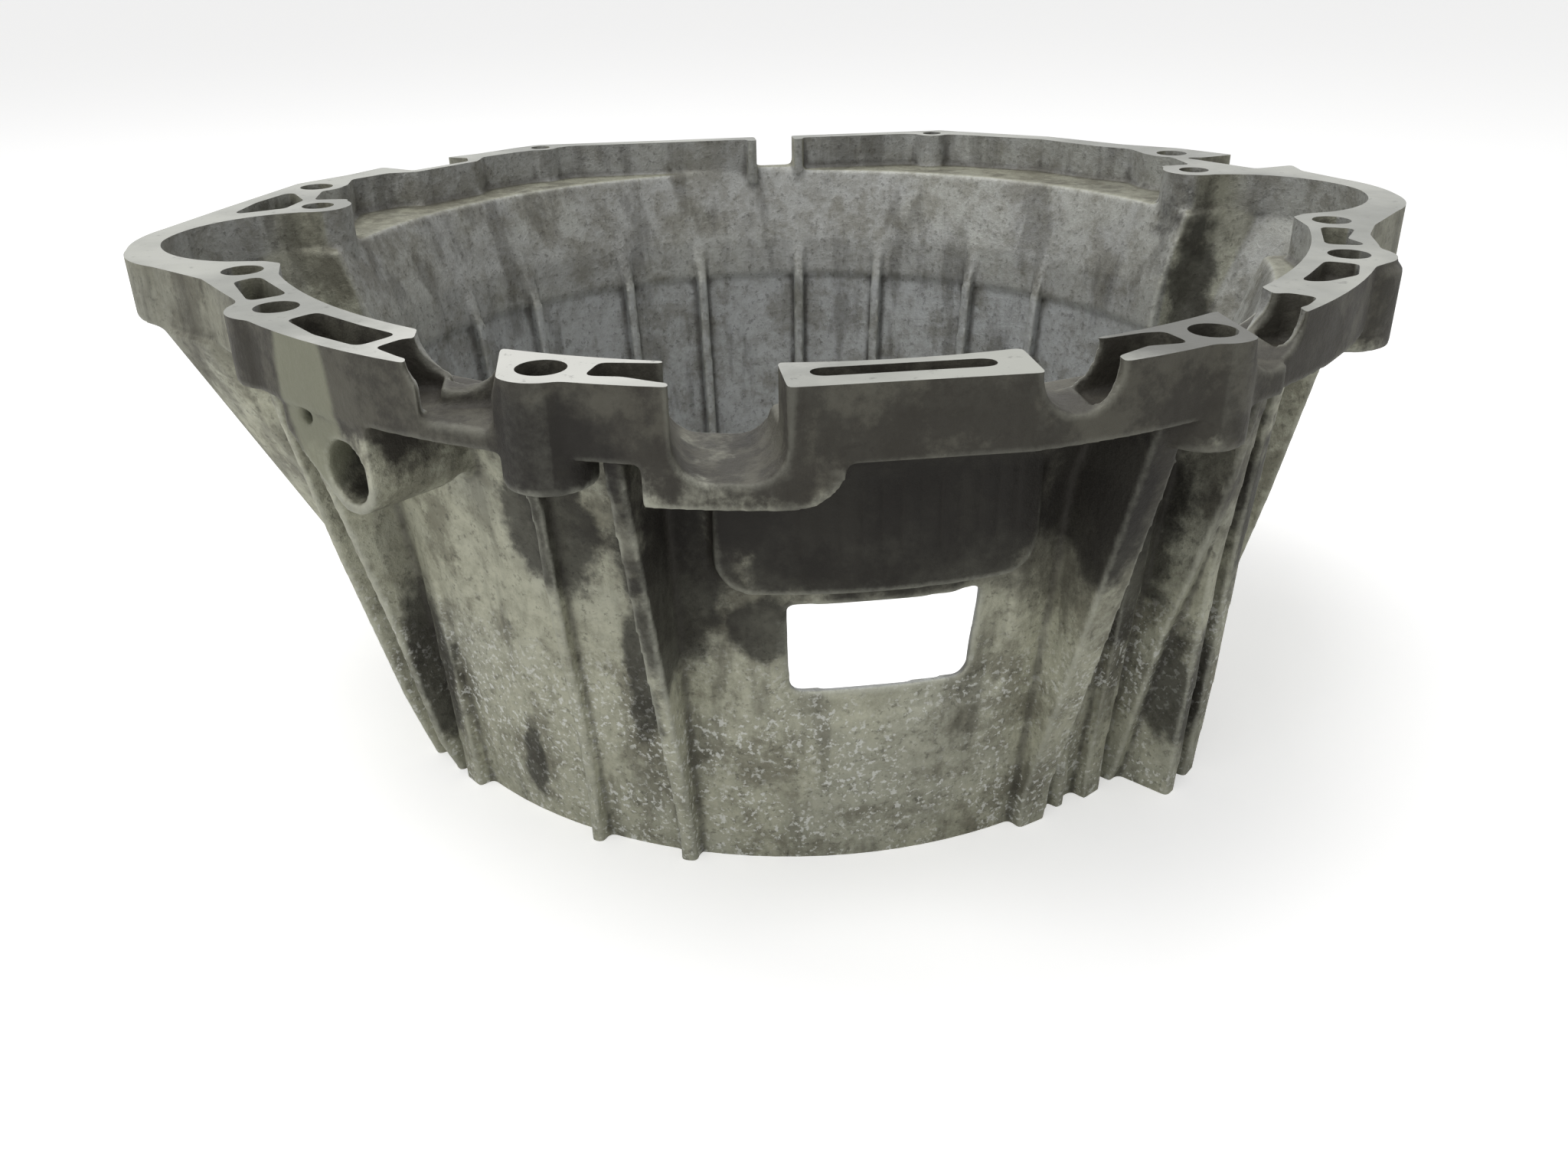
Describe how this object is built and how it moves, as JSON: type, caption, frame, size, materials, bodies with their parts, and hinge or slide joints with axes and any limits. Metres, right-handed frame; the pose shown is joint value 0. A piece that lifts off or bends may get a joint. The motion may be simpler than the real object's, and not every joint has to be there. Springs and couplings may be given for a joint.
{
  "type": "gearbox bell housing",
  "caption": "One-piece cast bell housing that joins an engine to a gearbox, with a lobed engine flange, ribbed flared wall, sensor boss and inspection window.",
  "frame": {"origin": "centre of the gearbox bore, on the gearbox face", "axes": "+Z along the bell axis from the gearbox face to the engine face; -Y towards the side with the inspection window and the sensor boss; +X across the lobes, to the right seen from that side"},
  "size_m": [0.4534, 0.3795, 0.176],
  "materials": {
    "cast_aluminium": "as-cast, oxidised and grimy, with a machined engine face"
  },
  "bodies": {
    "root": {"bell_housing": "cast_aluminium"}
  },
  "joints": []
}
